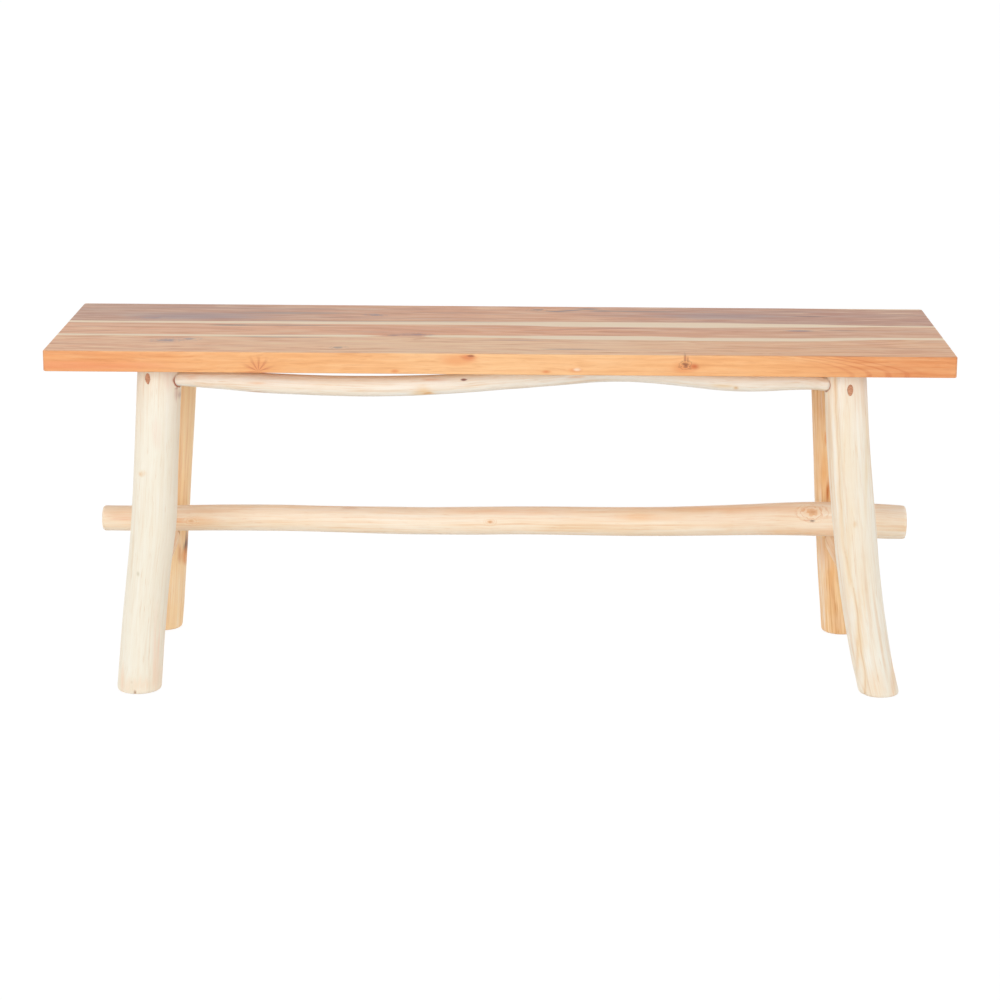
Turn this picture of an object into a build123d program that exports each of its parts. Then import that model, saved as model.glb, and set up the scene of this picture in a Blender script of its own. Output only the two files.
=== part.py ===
"""Rustic log bench: a plank seat on four splayed, peeled-pole legs.

Frame: origin on the floor under the middle of the seat, +X along the seat,
+Y to the back, +Z up. Millimetres.
"""
from build123d import *
from math import cos, radians, sin
import os

# ---- Seat: three planks glued edge to edge ---------------------------------------
SEAT_LENGTH = 1200
SEAT_THICKNESS = 28
SEAT_HEIGHT = 472            # floor to sitting surface
FRONT_BOARD_WIDTH = 117
MIDDLE_BOARD_WIDTH = 95
BACK_BOARD_WIDTH = 138
SEAT_CORNER_RADIUS = 4       # the four upright corners
SEAT_EDGE_ROUND = 1.6        # sanded arrises

# ---- Legs: peeled poles with a round tenon into the seat --------------------------
LEG_DIAMETER_FRONT_LEFT = 59
LEG_DIAMETER_FRONT_RIGHT = 57
LEG_DIAMETER_REAR_LEFT = 54
LEG_DIAMETER_REAR_RIGHT = 54
LEG_INSET_FRONT_LEFT = 146.3 # seat end to leg centre, at the top
LEG_INSET_FRONT_RIGHT = 140.6
LEG_INSET_REAR_LEFT = 144.3
LEG_INSET_REAR_RIGHT = 139.1
LEG_SETBACK = 60             # seat's long edge to leg centre, at the top
LEG_TENON_DIAMETER = 24
SEAT_WOOD_OVER_TENON = 13
FOOT_ROUND = 4

# How far each foot stands beyond its leg's top, along and across the seat.
SPLAY_ALONG_FRONT_LEFT = 34.6
SPLAY_ACROSS_FRONT_LEFT = 36
SPLAY_ALONG_FRONT_RIGHT = 60
SPLAY_ACROSS_FRONT_RIGHT = 26
SPLAY_ALONG_REAR_LEFT = 37.3
SPLAY_ACROSS_REAR_LEFT = 26
SPLAY_ALONG_REAR_RIGHT = 35.9
SPLAY_ACROSS_REAR_RIGHT = 34

# ---- Seat rails: branches under the seat, one at the front and one at the back ----
SEAT_RAIL_DIAMETER = 26
SEAT_RAIL_DROP = 19.3        # seat's underside to the rail's tenon centre
FRONT_RAIL_FORWARD = 8.5     # front rail's tenons ahead of the legs' centres
SEAT_RAIL_TENON_DIAMETER = 18

# ---- End rails: one between each pair of legs -------------------------------------
END_RAIL_DIAMETER = 40
END_RAIL_HEIGHT_REAR = 150   # floor to tenon centre
END_RAIL_HEIGHT_FRONT = 153
END_RAIL_TENON_DIAMETER = 25

# ---- Long stretcher: rests on both end rails --------------------------------------
STRETCHER_DIAMETER = 38      # in its slimmer left half
STRETCHER_BEHIND_MIDDLE = 45
STRETCHER_OVERHANG_LEFT = 83.5   # end rail centre to the stretcher's sawn end
STRETCHER_OVERHANG_RIGHT = 86.5
STRETCHER_END_ROUND = 4
SADDLE_DEPTH = 3.6           # how far the stretcher is cut to sit over an end rail

# ---- Joints and fastenings --------------------------------------------------------
MORTISE_DEPTH = 28           # from the leg's surface
TENON_END_SPACE = 1          # room for glue past the tenon's end
TENON_NECK = 1.5             # round of tenon left bare outside the leg
GLUE_LINE = 0.15             # radial room round a tenon, in a saddle and round a plug
SCREW_ROOM = 0.05            # radial room round a screw

SCREW_SHANK_DIAMETER = 4.2
SCREW_HEAD_DIAMETER = 7.2
SCREW_HEAD_HEIGHT = 3
SCREW_POINT_LENGTH = 6
PLUG_DIAMETER = 7.6
PLUG_LENGTH = 7              # along its axis, to the screw's head
LEG_SCREW_RISE = 55          # degrees above level
PLUG_DROP_FRONT_LEFT = 11.2  # seat's underside to the plug's middle
PLUG_DROP_FRONT_RIGHT = 19.5
PLUG_DROP_REAR_LEFT = 16
PLUG_DROP_REAR_RIGHT = 15
SEAT_WOOD_OVER_SCREW = 8
STRETCHER_WOOD_OVER_SCREW = 12
STRETCHER_SCREW_RECESS = 8   # head below the end rail's underside
SCREW_RECESS_DIAMETER = 9

# ---- Worked out -------------------------------------------------------------------
SEAT_DEPTH = FRONT_BOARD_WIDTH + MIDDLE_BOARD_WIDTH + BACK_BOARD_WIDTH
SEAT_UNDERSIDE = SEAT_HEIGHT - SEAT_THICKNESS
SEAT_RAIL_HEIGHT = SEAT_UNDERSIDE - SEAT_RAIL_DROP
LEG_TENON_LENGTH = SEAT_THICKNESS - SEAT_WOOD_OVER_TENON
SECTIONS = 11                # round sections lofted along each pole


def smooth(form, share, column):
    """One column of a pole's form at a share of its length, on a smooth curve."""
    last = len(form) - 2
    i = max(k for k in range(last + 1) if k == 0 or form[k][0] <= share)
    s0, s1 = form[i][0], form[i + 1][0]
    v0, v1 = form[i][column], form[i + 1][column]
    slope = (v1 - v0) / (s1 - s0)
    slope0 = slope if i == 0 else (v1 - form[i - 1][column]) / (s1 - form[i - 1][0])
    slope1 = slope if i == last else (form[i + 2][column] - v0) / (form[i + 2][0] - s0)
    t = (share - s0) / (s1 - s0)
    rise = (s1 - s0) * t * (1 - t)
    return v0 + (v1 - v0) * t * t * (3 - 2 * t) + rise * (slope0 * (1 - t) - slope1 * t)


class Pole:
    """A peeled pole from start to end.

    Its form is a list of (share of the length, two offsets from the straight line,
    diameter). Sections are cut square to the pole's main axis, and the offsets lie in
    them: X and Y on an upright pole, Y and Z along X, and X and Z along Y.
    """

    def __init__(self, start, end, along, form):
        self.start = Vector(*start)
        self.end = Vector(*end)
        self.along = along
        self.form = form

    def centre(self, share):
        first = smooth(self.form, share, 1)
        second = smooth(self.form, share, 2)
        bend = {"X": (0, first, second), "Y": (first, 0, second), "Z": (first, second, 0)}
        return self.start + (self.end - self.start) * share + Vector(*bend[self.along])

    def diameter(self, share):
        return smooth(self.form, share, 3)

    def share_at(self, place):
        """Share of the length at a place along the main axis."""
        low = getattr(self.start, self.along)
        return (place - low) / (getattr(self.end, self.along) - low)

    def centre_at(self, place):
        return self.centre(self.share_at(place))

    def radius_at(self, place):
        return self.diameter(self.share_at(place)) / 2

    def solid(self, room=0.0):
        """The round wood, grown by room all round."""
        normal = {"X": Vector(1, 0, 0), "Y": Vector(0, 1, 0), "Z": Vector(0, 0, 1)}[self.along]
        rounds = []
        for k in range(SECTIONS):
            share = k / (SECTIONS - 1)
            plane = Plane(origin=self.centre(share), z_dir=normal)
            rounds.append(plane * Circle(self.diameter(share) / 2 + room))
        return loft(Sketch() + rounds)


def rod(start, direction, diameter, length):
    """A round bar from start along a direction."""
    return Plane(origin=start, z_dir=direction) * Cylinder(
        diameter / 2, length, align=(Align.CENTER, Align.CENTER, Align.MIN))


# ---- Forms of the poles: how each one grew -------------------------------------------
def grown(diameter, bends, neck=None):
    """A pole's form. bends holds (share of the length, two offsets, swell over the
    diameter), and a rail narrows to its neck at both ends."""
    form = [(share, first, second, diameter + swell) for share, first, second, swell in bends]
    return [(0, 0, 0, neck)] + form + [(1, 0, 0, neck)] if neck else form


HALF_SEAT = SEAT_LENGTH / 2
FRONT_TOP_Y = -SEAT_DEPTH / 2 + LEG_SETBACK
REAR_TOP_Y = SEAT_DEPTH / 2 - LEG_SETBACK


def leg_pole(top_x, top_y, splay_x, splay_y, form):
    """A leg, from the floor up to the seat's underside."""
    foot = (top_x + splay_x, top_y + splay_y, 0)
    return Pole(foot, (top_x, top_y, SEAT_UNDERSIDE), "Z", form)


LEGS = {
    "leg_front_left": leg_pole(
        LEG_INSET_FRONT_LEFT - HALF_SEAT, FRONT_TOP_Y, -SPLAY_ALONG_FRONT_LEFT, -SPLAY_ACROSS_FRONT_LEFT,
        form=grown(LEG_DIAMETER_FRONT_LEFT, [
            (0, 0, 0, 1), (0.25, 1.1, 0, 0), (0.38, 2.8, 0, -0.6), (0.49, 5.4, 0, 1.6),
            (0.7, 3.2, 0, -0.2), (1, 0, 0, 0)])),
    "leg_front_right": leg_pole(
        HALF_SEAT - LEG_INSET_FRONT_RIGHT, FRONT_TOP_Y, SPLAY_ALONG_FRONT_RIGHT, -SPLAY_ACROSS_FRONT_RIGHT,
        form=grown(LEG_DIAMETER_FRONT_RIGHT, [
            (0, 0, 0, -2), (0.12, -6.5, 0, -2), (0.36, -10.6, 0, 0.6), (0.5, -9.4, 0, 1.2),
            (0.71, -7.1, 0, 1), (1, 0, 0, 0)])),
    "leg_rear_left": leg_pole(
        LEG_INSET_REAR_LEFT - HALF_SEAT, REAR_TOP_Y, -SPLAY_ALONG_REAR_LEFT, SPLAY_ACROSS_REAR_LEFT,
        form=grown(LEG_DIAMETER_REAR_LEFT, [
            (0, 0, 0, 0), (0.3, 1, 0, -0.4), (0.6, 0.3, 1.5, 0.4), (1, 0, 0, 0)])),
    "leg_rear_right": leg_pole(
        HALF_SEAT - LEG_INSET_REAR_RIGHT, REAR_TOP_Y, SPLAY_ALONG_REAR_RIGHT, SPLAY_ACROSS_REAR_RIGHT,
        form=grown(LEG_DIAMETER_REAR_RIGHT, [
            (0, 0, 0, 0), (0.25, -2.2, 0, 0), (0.5, -1.6, -1.5, -0.6), (0.8, -0.4, 0, 0.2),
            (1, 0, 0, 0)])),
}

SEAT_RAIL_FORMS = {
    "front": grown(SEAT_RAIL_DIAMETER, neck=SEAT_RAIL_TENON_DIAMETER, bends=[
        (0.035, 0, 0.5, -4), (0.11, 0, -3.5, 0), (0.26, 0, -8, 1.5), (0.42, 0, -4, 0.5),
        (0.56, 7, 4.5, -2), (0.695, 16, 9.5, -2.5), (0.8, 7, 5, -0.5), (0.89, 0, 2.5, 0.5),
        (0.965, 0, 1, -4)]),
    "rear": grown(SEAT_RAIL_DIAMETER, neck=SEAT_RAIL_TENON_DIAMETER, bends=[
        (0.04, 0, 0.5, -3.5), (0.15, -2, 3, 0), (0.33, -6, 7.5, 2), (0.52, -3, 3, 1),
        (0.7, 4, -4, 1.5), (0.88, 2, -2, -1), (0.96, 0, 0, -4)]),
}

END_RAIL_FORM = grown(END_RAIL_DIAMETER, neck=END_RAIL_TENON_DIAMETER, bends=[
    (0.03, 0, 0.4, -7), (0.09, 0, 1, -1.5), (0.3, 0, 2.6, 0.5), (0.6, 0, 3, 1),
    (0.91, 0, 1, -1.5), (0.97, 0, 0.4, -7)])

STRETCHER_FORM = grown(STRETCHER_DIAMETER, bends=[
    (0, 0, 0, -2.5), (0.08, 0, 0, -1.2), (0.22, 2, 0, -1.2), (0.375, 3, -4, 0),
    (0.52, 0, -2.5, 1.5), (0.7, -3, -2.5, 3), (0.82, -1, 0.5, 6.5), (0.88, 0, 1.2, 10),
    (0.925, 0, 0, 10.2), (1, 0, -4, 9)])


def seat_rail_pole(side):
    """The rail between two leg tops, from the face of one leg to the face of the other."""
    left, right = LEGS[f"leg_{side}_left"], LEGS[f"leg_{side}_right"]
    height = SEAT_RAIL_HEIGHT
    forward = FRONT_RAIL_FORWARD if side == "front" else 0
    start = left.centre_at(height) + Vector(left.radius_at(height) + TENON_NECK, -forward, 0)
    end = right.centre_at(height) - Vector(right.radius_at(height) + TENON_NECK, forward, 0)
    return Pole(start, end, "X", SEAT_RAIL_FORMS[side])


def end_rail_pole(end):
    """The rail between a front and a rear leg."""
    front, rear = LEGS[f"leg_front_{end}"], LEGS[f"leg_rear_{end}"]
    front_face = front.radius_at(END_RAIL_HEIGHT_FRONT) + TENON_NECK
    rear_face = rear.radius_at(END_RAIL_HEIGHT_REAR) + TENON_NECK
    start = front.centre_at(END_RAIL_HEIGHT_FRONT) + Vector(0, front_face, 0)
    finish = rear.centre_at(END_RAIL_HEIGHT_REAR) - Vector(0, rear_face, 0)
    return Pole(start, finish, "Y", END_RAIL_FORM)


SEAT_RAILS = {side: seat_rail_pole(side) for side in ("front", "rear")}
END_RAILS = {end: end_rail_pole(end) for end in ("left", "right")}


def stretcher_pole():
    """The long stretcher, let down onto both end rails by the depth of its saddles."""
    rests = [END_RAILS[end].centre_at(STRETCHER_BEHIND_MIDDLE) for end in ("left", "right")]
    span = rests[1].X - rests[0].X
    length = STRETCHER_OVERHANG_LEFT + span + STRETCHER_OVERHANG_RIGHT
    left_share = STRETCHER_OVERHANG_LEFT / length
    right_share = 1 - STRETCHER_OVERHANG_RIGHT / length
    seats = []
    for rest, end, at in ((rests[0], "left", left_share), (rests[1], "right", right_share)):
        rail_radius = END_RAILS[end].radius_at(STRETCHER_BEHIND_MIDDLE)
        radius = smooth(STRETCHER_FORM, at, 3) / 2
        lift = rail_radius + radius - SADDLE_DEPTH - smooth(STRETCHER_FORM, at, 2)
        seats.append(rest + Vector(0, -smooth(STRETCHER_FORM, at, 1), lift))
    slope = (seats[1] - seats[0]) / span
    return Pole(seats[0] - slope * STRETCHER_OVERHANG_LEFT,
                seats[1] + slope * STRETCHER_OVERHANG_RIGHT, "X", STRETCHER_FORM)


STRETCHER = stretcher_pole()


# ---- Screws and plugs ---------------------------------------------------------------
def screw(origin, direction, length, room=0.0):
    """A countersunk wood screw, its head's face at origin, grown by room all round."""
    shank = SCREW_SHANK_DIAMETER / 2 + room
    outline = Polyline(
        (0, 0), (SCREW_HEAD_DIAMETER / 2 + room, 0), (shank, SCREW_HEAD_HEIGHT + room),
        (shank, length - SCREW_POINT_LENGTH), (0, length + room), close=True)
    upright = revolve(Plane.XZ * make_face(outline), Axis.Z)
    return Plane(origin=origin, z_dir=direction) * upright


class LegScrew:
    """Driven slantwise up through a leg's shoulder into the seat, under a wooden plug.

    turn is the bearing of its mouth, from straight ahead towards the bench's end, and
    drop is the mouth's depth below the seat.
    """

    def __init__(self, leg, turn, drop):
        self.leg = LEGS[leg]
        height = SEAT_UNDERSIDE - drop
        centre = self.leg.centre_at(height)
        outward = Vector(
            sin(radians(turn)) * (1 if centre.X > 0 else -1),
            cos(radians(turn)) * (1 if centre.Y > 0 else -1), 0)
        rise = radians(LEG_SCREW_RISE)
        self.mouth = centre + outward * self.leg.radius_at(height)
        self.direction = Vector(0, 0, sin(rise)) - outward * cos(rise)
        self.head = self.mouth + self.direction * PLUG_LENGTH
        self.length = (SEAT_HEIGHT - SEAT_WOOD_OVER_SCREW - self.head.Z) / sin(rise)

    def bore(self, diameter):
        """From outside the leg down to the screw's head."""
        return rod(self.mouth - self.direction * PLUG_LENGTH, self.direction,
                   diameter, 2 * PLUG_LENGTH)

    def plug(self):
        """Cut flush with the round of the leg."""
        return self.leg.solid() & self.bore(PLUG_DIAMETER)

    def screw(self, room=0.0):
        return screw(self.head, self.direction, self.length, room)


LEG_SCREWS = {
    "leg_front_left": LegScrew("leg_front_left", 24.5, PLUG_DROP_FRONT_LEFT),
    "leg_front_right": LegScrew("leg_front_right", 7, PLUG_DROP_FRONT_RIGHT),
    "leg_rear_left": LegScrew("leg_rear_left", 12, PLUG_DROP_REAR_LEFT),
    "leg_rear_right": LegScrew("leg_rear_right", 16, PLUG_DROP_REAR_RIGHT),
}


def stretcher_screw(end, room=0.0):
    """Driven up through an end rail into the stretcher."""
    rail = END_RAILS[end]
    middle = rail.centre_at(STRETCHER_BEHIND_MIDDLE)
    drop = rail.radius_at(STRETCHER_BEHIND_MIDDLE) - STRETCHER_SCREW_RECESS
    stretcher_top = STRETCHER.centre_at(middle.X).Z + STRETCHER.radius_at(middle.X)
    length = stretcher_top - STRETCHER_WOOD_OVER_SCREW - (middle.Z - drop)
    return screw(middle - Vector(0, 0, drop), (0, 0, 1), length, room)


def screw_recess(end):
    """The hole that sinks a stretcher screw's head into the end rail."""
    rail = END_RAILS[end]
    middle = rail.centre_at(STRETCHER_BEHIND_MIDDLE)
    drop = rail.radius_at(STRETCHER_BEHIND_MIDDLE)
    return rod(middle - Vector(0, 0, drop + STRETCHER_SCREW_RECESS), (0, 0, 1),
               SCREW_RECESS_DIAMETER, 2 * STRETCHER_SCREW_RECESS)


# ---- Seat ---------------------------------------------------------------------------
def seat_slab():
    """The glued-up seat before it is divided into its planks."""
    slab = Pos(0, 0, SEAT_UNDERSIDE) * Box(
        SEAT_LENGTH, SEAT_DEPTH, SEAT_THICKNESS, align=(Align.CENTER, Align.CENTER, Align.MIN))
    slab = fillet(slab.edges().filter_by(Axis.Z), SEAT_CORNER_RADIUS)
    rims = slab.edges().group_by(Axis.Z)
    return fillet(rims[0] + rims[-1], SEAT_EDGE_ROUND)


def seat_board(slab, front_y, width):
    """One plank, with the blind holes for the leg tenons and screws that come up in it."""
    plank = slab & (Pos(0, front_y, SEAT_UNDERSIDE) * Box(
        SEAT_LENGTH, width, SEAT_THICKNESS, align=(Align.CENTER, Align.MIN, Align.MIN)))
    for name, leg in LEGS.items():
        plank -= rod(leg.centre(1), (0, 0, 1), LEG_TENON_DIAMETER + 2 * GLUE_LINE,
                     LEG_TENON_LENGTH + TENON_END_SPACE)
        plank -= LEG_SCREWS[name].screw(SCREW_ROOM)
    return plank


def build_seat():
    """The three planks, from the front to the back."""
    slab = seat_slab()
    front_y = -SEAT_DEPTH / 2
    middle_y = front_y + FRONT_BOARD_WIDTH
    back_y = middle_y + MIDDLE_BOARD_WIDTH
    return {
        "seat_board_front": seat_board(slab, front_y, FRONT_BOARD_WIDTH),
        "seat_board_middle": seat_board(slab, middle_y, MIDDLE_BOARD_WIDTH),
        "seat_board_back": seat_board(slab, back_y, BACK_BOARD_WIDTH),
    }


# ---- Legs ---------------------------------------------------------------------------
def rail_ends(rail, diameter, length):
    """Round bars from both ends of a rail's neck, out into the legs."""
    out = {"X": Vector(1, 0, 0), "Y": Vector(0, 1, 0)}[rail.along]
    return {"start": rod(rail.start, -out, diameter, length),
            "end": rod(rail.end, out, diameter, length)}


def mortises(side, end):
    """The two blind round holes in the leg at one side and end of the bench."""
    depth = TENON_NECK + MORTISE_DEPTH
    seat_rail = rail_ends(SEAT_RAILS[side], SEAT_RAIL_TENON_DIAMETER + 2 * GLUE_LINE, depth)
    end_rail = rail_ends(END_RAILS[end], END_RAIL_TENON_DIAMETER + 2 * GLUE_LINE, depth)
    return (seat_rail["start" if end == "left" else "end"],
            end_rail["start" if side == "front" else "end"])


def build_leg(side, end):
    """A leg with its tenon, its mortises and the hole for its screw and plug."""
    name = f"leg_{side}_{end}"
    wood = LEGS[name].solid()
    wood = fillet(wood.edges().group_by(Axis.Z)[0], FOOT_ROUND)
    wood += rod(LEGS[name].centre(1), (0, 0, 1), LEG_TENON_DIAMETER, LEG_TENON_LENGTH)
    for hole in mortises(side, end):
        wood -= hole
    fastening = LEG_SCREWS[name]
    wood -= fastening.bore(PLUG_DIAMETER + 2 * GLUE_LINE)
    wood -= fastening.screw(SCREW_ROOM)
    return wood


# ---- Rails and stretcher ------------------------------------------------------------
def build_seat_rail(side):
    """Planed flat on top wherever it would rise into the seat."""
    rail = SEAT_RAILS[side]
    length = TENON_NECK + MORTISE_DEPTH - TENON_END_SPACE
    wood = rail.solid()
    for tenon in rail_ends(rail, SEAT_RAIL_TENON_DIAMETER, length).values():
        wood += tenon
    return wood - Pos(0, 0, SEAT_UNDERSIDE) * Box(
        SEAT_LENGTH, SEAT_DEPTH, SEAT_THICKNESS, align=(Align.CENTER, Align.CENTER, Align.MIN))


def build_end_rail(end):
    """A rail with its tenons and the hole for the stretcher's screw."""
    rail = END_RAILS[end]
    length = TENON_NECK + MORTISE_DEPTH - TENON_END_SPACE
    wood = rail.solid()
    for tenon in rail_ends(rail, END_RAIL_TENON_DIAMETER, length).values():
        wood += tenon
    return wood - screw_recess(end) - stretcher_screw(end, SCREW_ROOM)


def build_stretcher():
    """The stretcher, hollowed below to sit over both end rails."""
    wood = STRETCHER.solid()
    sawn_ends = wood.edges().group_by(Axis.X)
    wood = fillet(sawn_ends[0] + sawn_ends[-1], STRETCHER_END_ROUND)
    for end, rail in END_RAILS.items():
        wood -= rail.solid(GLUE_LINE)
        wood -= stretcher_screw(end, SCREW_ROOM)
    return wood


# ---- Assembly -----------------------------------------------------------------------
def build_bench():
    """Every sub-part by name, in place."""
    bench = build_seat()
    for side in ("front", "rear"):
        for end in ("left", "right"):
            bench[f"leg_{side}_{end}"] = build_leg(side, end)
        bench[f"seat_rail_{side}"] = build_seat_rail(side)
    for end in ("left", "right"):
        bench[f"end_rail_{end}"] = build_end_rail(end)
    bench["long_stretcher"] = build_stretcher()
    bench["leg_screws"] = [each.screw() for each in LEG_SCREWS.values()]
    bench["leg_plugs"] = [each.plug() for each in LEG_SCREWS.values()]
    bench["stretcher_screws"] = [stretcher_screw(end) for end in END_RAILS]
    return bench


os.makedirs("parts", exist_ok=True)
for node, shape in build_bench().items():
    solids = [s for each in (shape if isinstance(shape, list) else [shape]) for s in each.solids()]
    export_step(Compound(solids), f"parts/{node}.step")
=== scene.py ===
"""Looks of the rustic log bench: a plank seat on four splayed, peeled poles."""
from math import cos, pi, radians, sin

import bpy
import numpy as np
from mathutils import Matrix, Vector


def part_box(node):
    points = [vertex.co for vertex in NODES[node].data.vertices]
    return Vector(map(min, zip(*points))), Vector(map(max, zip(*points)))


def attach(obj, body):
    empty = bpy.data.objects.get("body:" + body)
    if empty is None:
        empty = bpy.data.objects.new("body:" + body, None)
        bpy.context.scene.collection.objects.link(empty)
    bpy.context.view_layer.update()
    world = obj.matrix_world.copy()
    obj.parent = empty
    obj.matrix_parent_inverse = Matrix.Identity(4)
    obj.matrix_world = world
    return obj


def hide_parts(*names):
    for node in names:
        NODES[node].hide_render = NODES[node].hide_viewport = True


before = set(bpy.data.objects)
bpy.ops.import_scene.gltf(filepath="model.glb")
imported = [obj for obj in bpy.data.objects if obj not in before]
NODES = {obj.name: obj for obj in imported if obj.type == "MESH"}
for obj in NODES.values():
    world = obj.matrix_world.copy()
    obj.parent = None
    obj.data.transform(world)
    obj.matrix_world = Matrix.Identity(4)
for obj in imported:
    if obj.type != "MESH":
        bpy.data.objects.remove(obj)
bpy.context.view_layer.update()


# ---- Camera ----
# It stands 3.7 m in front of the bench's middle and 1.2 m up, and looks down on the seat.
CAMERA_PLACE = Vector((0.04324, -3.72632, 1.17843))
CAMERA_YAW, CAMERA_PITCH, CAMERA_ROLL = 0.011615, 0.249237, 0.0052258
CAMERA_LENS, CAMERA_FILM = 99.36, 36
NEAREST, FARTHEST = 0.1, 60

bpy.ops.object.camera_add(location=CAMERA_PLACE)
camera = bpy.context.object
camera.name = "camera"
camera.data.sensor_width = CAMERA_FILM
camera.data.lens = CAMERA_LENS
camera.data.clip_start = NEAREST
camera.data.clip_end = FARTHEST
turned = (Matrix.Rotation(CAMERA_YAW, 4, "Z") @ Matrix.Rotation(pi / 2 - CAMERA_PITCH, 4, "X")
          @ Matrix.Rotation(CAMERA_ROLL, 4, "Z"))
camera.rotation_euler = turned.to_euler()
bpy.context.scene.camera = camera
bpy.context.scene.view_settings.view_transform = "Standard"


# ---- Studio: white floor, soft light ----
# The floor runs on to a white horizon. It is painted white, and still takes a shadow.
class Wire:
    """A value on its way through a material. Sums on it add their Math nodes."""

    def __init__(self, tree, socket=None):
        self.tree, self.socket = tree, socket

    def node(self, kind, inputs=None, out=0, **settings):
        """Any other node, with its settings and then its inputs by name or place."""
        made = self.tree.nodes.new(kind)
        for name, value in settings.items():
            setattr(made, name, value)
        for name, value in (inputs or {}).items():
            if isinstance(value, Wire):
                self.tree.links.new(value.socket, made.inputs[name])
            else:
                made.inputs[name].default_value = value
        return Wire(self.tree, made.outputs[out])

    def math(self, operation, a, b=0.0):
        """A Math node, or a Vector Math node where one of the two is a vector."""
        if any(isinstance(v, tuple) or isinstance(v, Wire) and v.socket.type == "VECTOR"
               for v in (a, b)):
            a, b = ((v,) * 3 if isinstance(v, (int, float)) else v for v in (a, b))
            return self.node("ShaderNodeVectorMath", {0: a, 1: b}, operation=operation)
        return self.node("ShaderNodeMath", {0: a, 1: b}, operation=operation)

    def __add__(self, other):
        return self.math("ADD", self, other)

    def __sub__(self, other):
        return self.math("SUBTRACT", self, other)

    def __rsub__(self, other):
        return self.math("SUBTRACT", other, self)

    def __mul__(self, other):
        return self.math("MULTIPLY", self, other)

    def __truediv__(self, other):
        return self.math("DIVIDE", self, other)

    def __rtruediv__(self, other):
        return self.math("DIVIDE", other, self)

    def sin(self):
        return self.math("SINE", self)

    def abs(self):
        return self.math("ABSOLUTE", self)

    def over(self, other):
        """The greater of the two."""
        return self.math("MAXIMUM", self, other)

    def under(self, other):
        """The lesser of the two."""
        return self.math("MINIMUM", self, other)

    def length(self):
        return self.node("ShaderNodeVectorMath", {0: self}, out="Value", operation="LENGTH")

    def part(self, axis):
        """One number of a vector: "X", "Y" or "Z"."""
        return self.node("ShaderNodeSeparateXYZ", {0: self}, out=axis)

    def rise(self, low, high, start=0.0, end=1.0):
        """start up to low, end from high on, and a soft step between."""
        return self.node("ShaderNodeMapRange", {
            "Value": self, "From Min": low, "From Max": high, "To Min": start, "To Max": end},
            interpolation_type="SMOOTHSTEP")

    def noise(self, scale, detail=2.0, roughness=0.5, seed=0.0):
        """Soft noise, 0 to 1, at this vector times a scale, or one for each axis."""
        return self.node("ShaderNodeTexNoise", {
            "Vector": self * scale, "W": seed, "Scale": 1.0, "Detail": detail,
            "Roughness": roughness}, noise_dimensions="4D")

    def sway(self, reach):
        """Noise as a shift either way, half of reach at most."""
        return (self - 0.5) * reach

    def to(self, start, end):
        """A colour on the way from start to end, as far as this value says."""
        return self.node("ShaderNodeMix", {0: self, 6: start, 7: end}, out=2, data_type="RGBA")

    def feeds(self, shader, name):
        self.tree.links.new(self.socket, shader.inputs[name])

    def bumps(self, shader, strength, distance):
        """Feeds this height to a shader as a bump."""
        self.node("ShaderNodeBump", {"Height": self, "Strength": strength,
                                     "Distance": distance}).feeds(shader, "Normal")

    def where(self, kind):
        """Where a spot lies, or which way it faces, as one of the coordinates."""
        return self.node("ShaderNodeTexCoord", out=kind)

    def noted(self, name, out="Fac"):
        """A value that was noted at the corners of the mesh."""
        return self.node("ShaderNodeAttribute", out=out, attribute_name=name)


def paint(red, green, blue):
    """A colour given as on a screen, 0 to 255, in the renderer's own linear terms."""
    def linear(v):
        v /= 255
        return v / 12.92 if v <= 0.04045 else ((v + 0.055) / 1.055) ** 2.4
    return (linear(red), linear(green), linear(blue), 1)


def blank(name):
    """A new material, a wire in it, and its Principled shader."""
    made = bpy.data.materials.new(name)
    made.use_nodes = True
    return made, Wire(made.node_tree), made.node_tree.nodes["Principled BSDF"]


def looked_at(wire):
    """1 for what the camera sees, also by way of a gloss or through glass, 0 for light."""
    seen = wire.node("ShaderNodeLightPath", out="Is Camera Ray")
    for ray in ("Is Glossy Ray", "Is Transmission Ray"):
        seen = seen.over(wire.node("ShaderNodeLightPath", out=ray))
    return seen


WHITE = (1, 1, 1, 1)
FLOOR_PAINT, FLOOR_ROUGHNESS, FLOOR_GLOW = (0.86, 0.86, 0.86, 1), 0.9, 1.1
FLOOR_SIZE, FLOOR_DROP = 40, 0.0004
SHADOW_DEPTH = 0.16

bpy.ops.mesh.primitive_plane_add(size=FLOOR_SIZE, location=(0, 0, -FLOOR_DROP))
floor = bpy.context.object
floor.name = "floor"
white, wire, shader = blank("floor_white")
shader.inputs["Base Color"].default_value = FLOOR_PAINT
shader.inputs["Roughness"].default_value = FLOOR_ROUGHNESS
glow = wire.node("ShaderNodeEmission", {"Color": WHITE, "Strength": FLOOR_GLOW})
matt = Wire(wire.tree, shader.outputs[0])
both = wire.node("ShaderNodeMixShader", {
    0: looked_at(wire) * (1 - SHADOW_DEPTH), 1: matt, 2: glow})
both.feeds(wire.tree.nodes["Material Output"], "Surface")
floor.data.materials.append(white)

# Light comes from low down all round, and less of it from above.
LOW_LIGHT, HIGH_LIGHT = 1.56, 0.33
LOW_SKY, HIGH_SKY = 0.35, 0.65

world = bpy.data.worlds.new("studio_air")
bpy.context.scene.world = world
world.use_nodes = True
air = Wire(world.node_tree)
height = air.where("Generated").part("Z")
light = height.rise(LOW_SKY, HIGH_SKY, LOW_LIGHT, HIGH_LIGHT)
background = world.node_tree.nodes["Background"]
background.inputs["Color"].default_value = WHITE
(looked_at(air) * (1 - light) + light).feeds(background, "Strength")

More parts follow.
